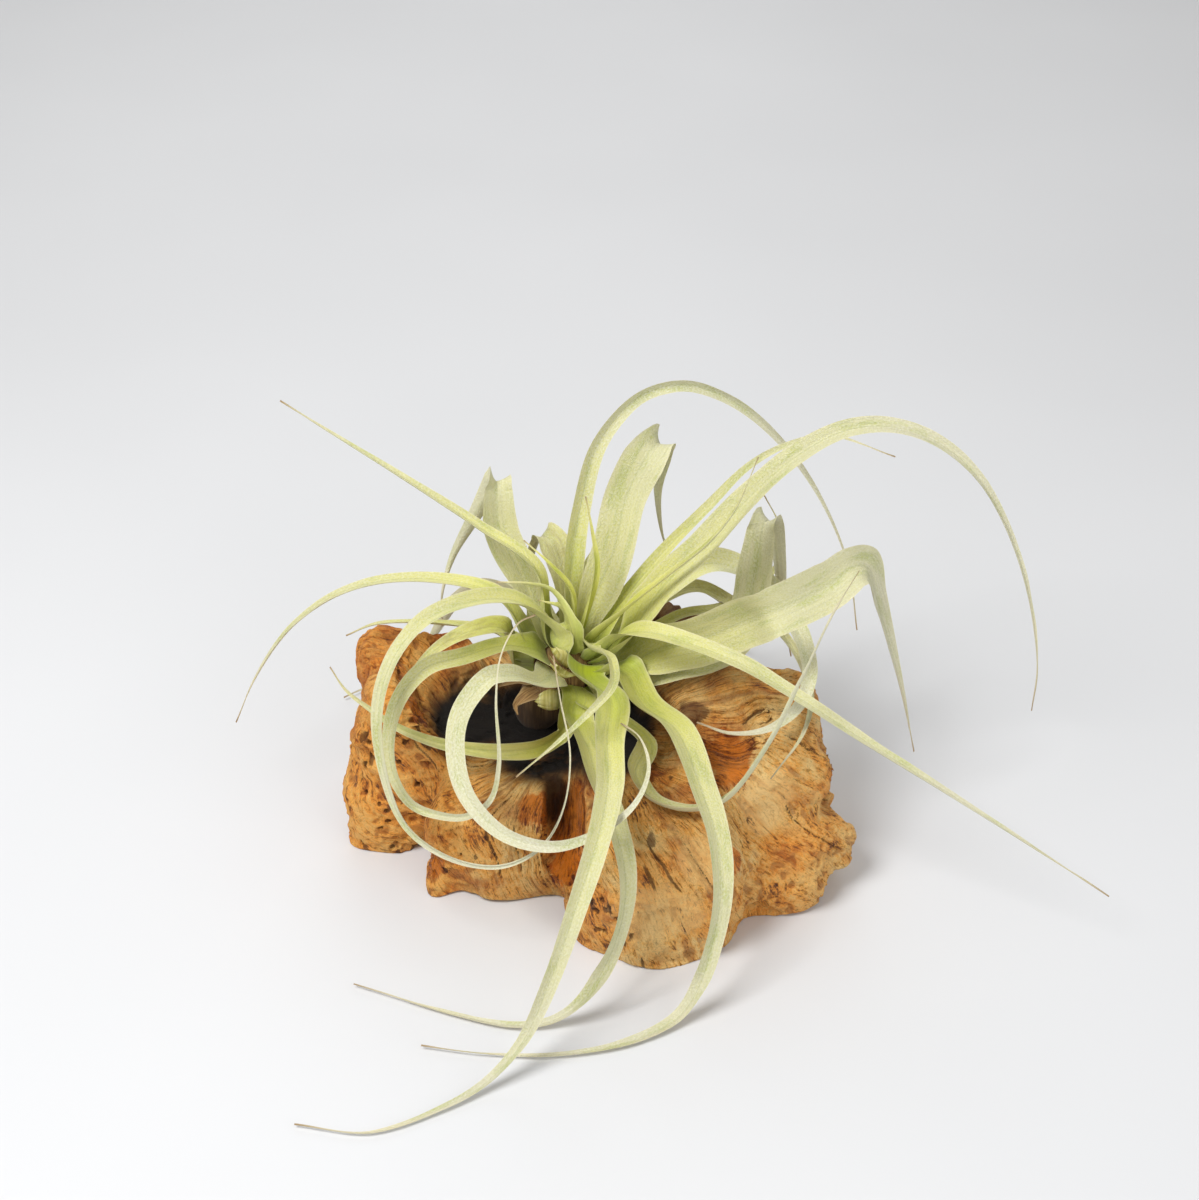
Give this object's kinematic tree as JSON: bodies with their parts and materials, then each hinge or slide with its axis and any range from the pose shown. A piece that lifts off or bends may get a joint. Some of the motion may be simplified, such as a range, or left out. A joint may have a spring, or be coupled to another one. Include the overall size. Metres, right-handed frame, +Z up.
{
  "type": "air plant on driftwood",
  "caption": "Air plant with long curling strap leaves that spring from one crown, resting in the hollow of a gnarled piece of driftwood.",
  "frame": {"origin": "on the surface the part stands on, under the middle of the driftwood, on its flat underside", "axes": "+Z up, +X to the right along the longest spread of the leaves, +Y to the back, seen from the pictured side"},
  "size_m": [0.3827, 0.3243, 0.2019],
  "materials": {
    "leaf_green": "living leaf, yellow-green under a fine pale scurf, satin",
    "leaf_bright": "young living leaf, bright yellow-green, satin",
    "leaf_silver": "leaf thickly covered with silvery scurf, matte",
    "leaf_olive": "ageing leaf, olive with brown scurf, matte",
    "pale_sheath": "pale fleshy leaf base, smooth satin",
    "dry_sheath": "dead papery leaf base, matte",
    "driftwood": "weathered, washed burl wood with furrows and cracks, matte"
  },
  "bodies": {
    "root": {"driftwood": "driftwood", "stem": "dry_sheath", "bud": "pale_sheath", "leaf_heart_up": "leaf_bright", "leaf_heart_left": "leaf_bright", "leaf_heart_right": "leaf_bright", "leaf_heart_hook": "leaf_green", "leaf_young_left": "leaf_bright", "leaf_young_front": "leaf_green", "leaf_tall_fold": "leaf_green", "leaf_tall_arch": "leaf_silver", "leaf_long_right": "leaf_green", "leaf_spear_right": "leaf_green", "leaf_spear_left": "leaf_green", "sheath_pale_upper": "pale_sheath", "leaf_trail_front_left": "leaf_green", "leaf_narrow_right": "leaf_green", "leaf_back_fold_small": "leaf_olive", "leaf_left_fold": "leaf_green", "leaf_loop_big": "leaf_green", "leaf_arch_back_right": "leaf_silver", "leaf_right_fold": "leaf_green", "leaf_arch_dark": "leaf_olive", "leaf_trail_front_right": "leaf_green", "leaf_arch_left": "leaf_green", "sheath_pale_lower": "pale_sheath", "leaf_loop_mid": "leaf_green", "leaf_back_mid": "leaf_silver", "leaf_curl_up_right": "leaf_green", "leaf_right_back_fold": "leaf_green", "leaf_trail_front_mid": "leaf_green", "leaf_loop_front": "leaf_silver", "leaf_back_right": "leaf_silver", "leaf_back_left": "leaf_silver", "leaf_loop_olive": "leaf_olive", "leaf_over_wood_left": "leaf_green", "leaf_sweep_right": "leaf_green", "leaf_sweep_left": "leaf_bright", "sheath_dry_left": "dry_sheath", "sheath_dry_front": "dry_sheath"}
  },
  "joints": []
}
